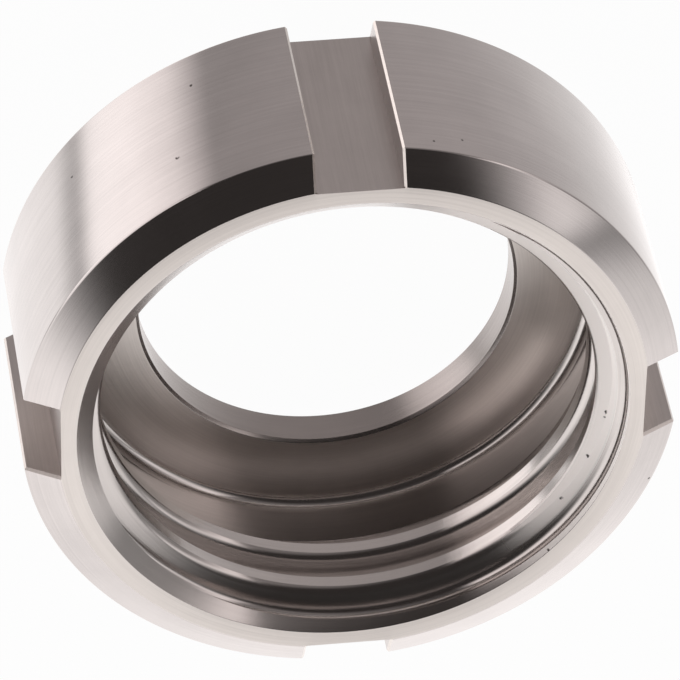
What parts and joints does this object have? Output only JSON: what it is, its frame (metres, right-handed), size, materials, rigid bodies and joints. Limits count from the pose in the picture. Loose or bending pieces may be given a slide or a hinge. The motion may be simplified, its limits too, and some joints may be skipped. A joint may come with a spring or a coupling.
{
  "type": "union nut",
  "caption": "Round slotted union nut with an inward flange and a coarse internal round thread, turned with a hook spanner to pull a pipe union together.",
  "frame": {"origin": "centre of the flange end's outer face, on which the nut stands", "axes": "+Z along the nut's axis, out of the threaded mouth; +X through the middle of a spanner slot"},
  "size_m": [0.0536, 0.0536, 0.02],
  "materials": {
    "turned_stainless": "turned and lightly polished stainless steel"
  },
  "bodies": {
    "root": {"union_nut": "turned_stainless"}
  },
  "joints": []
}
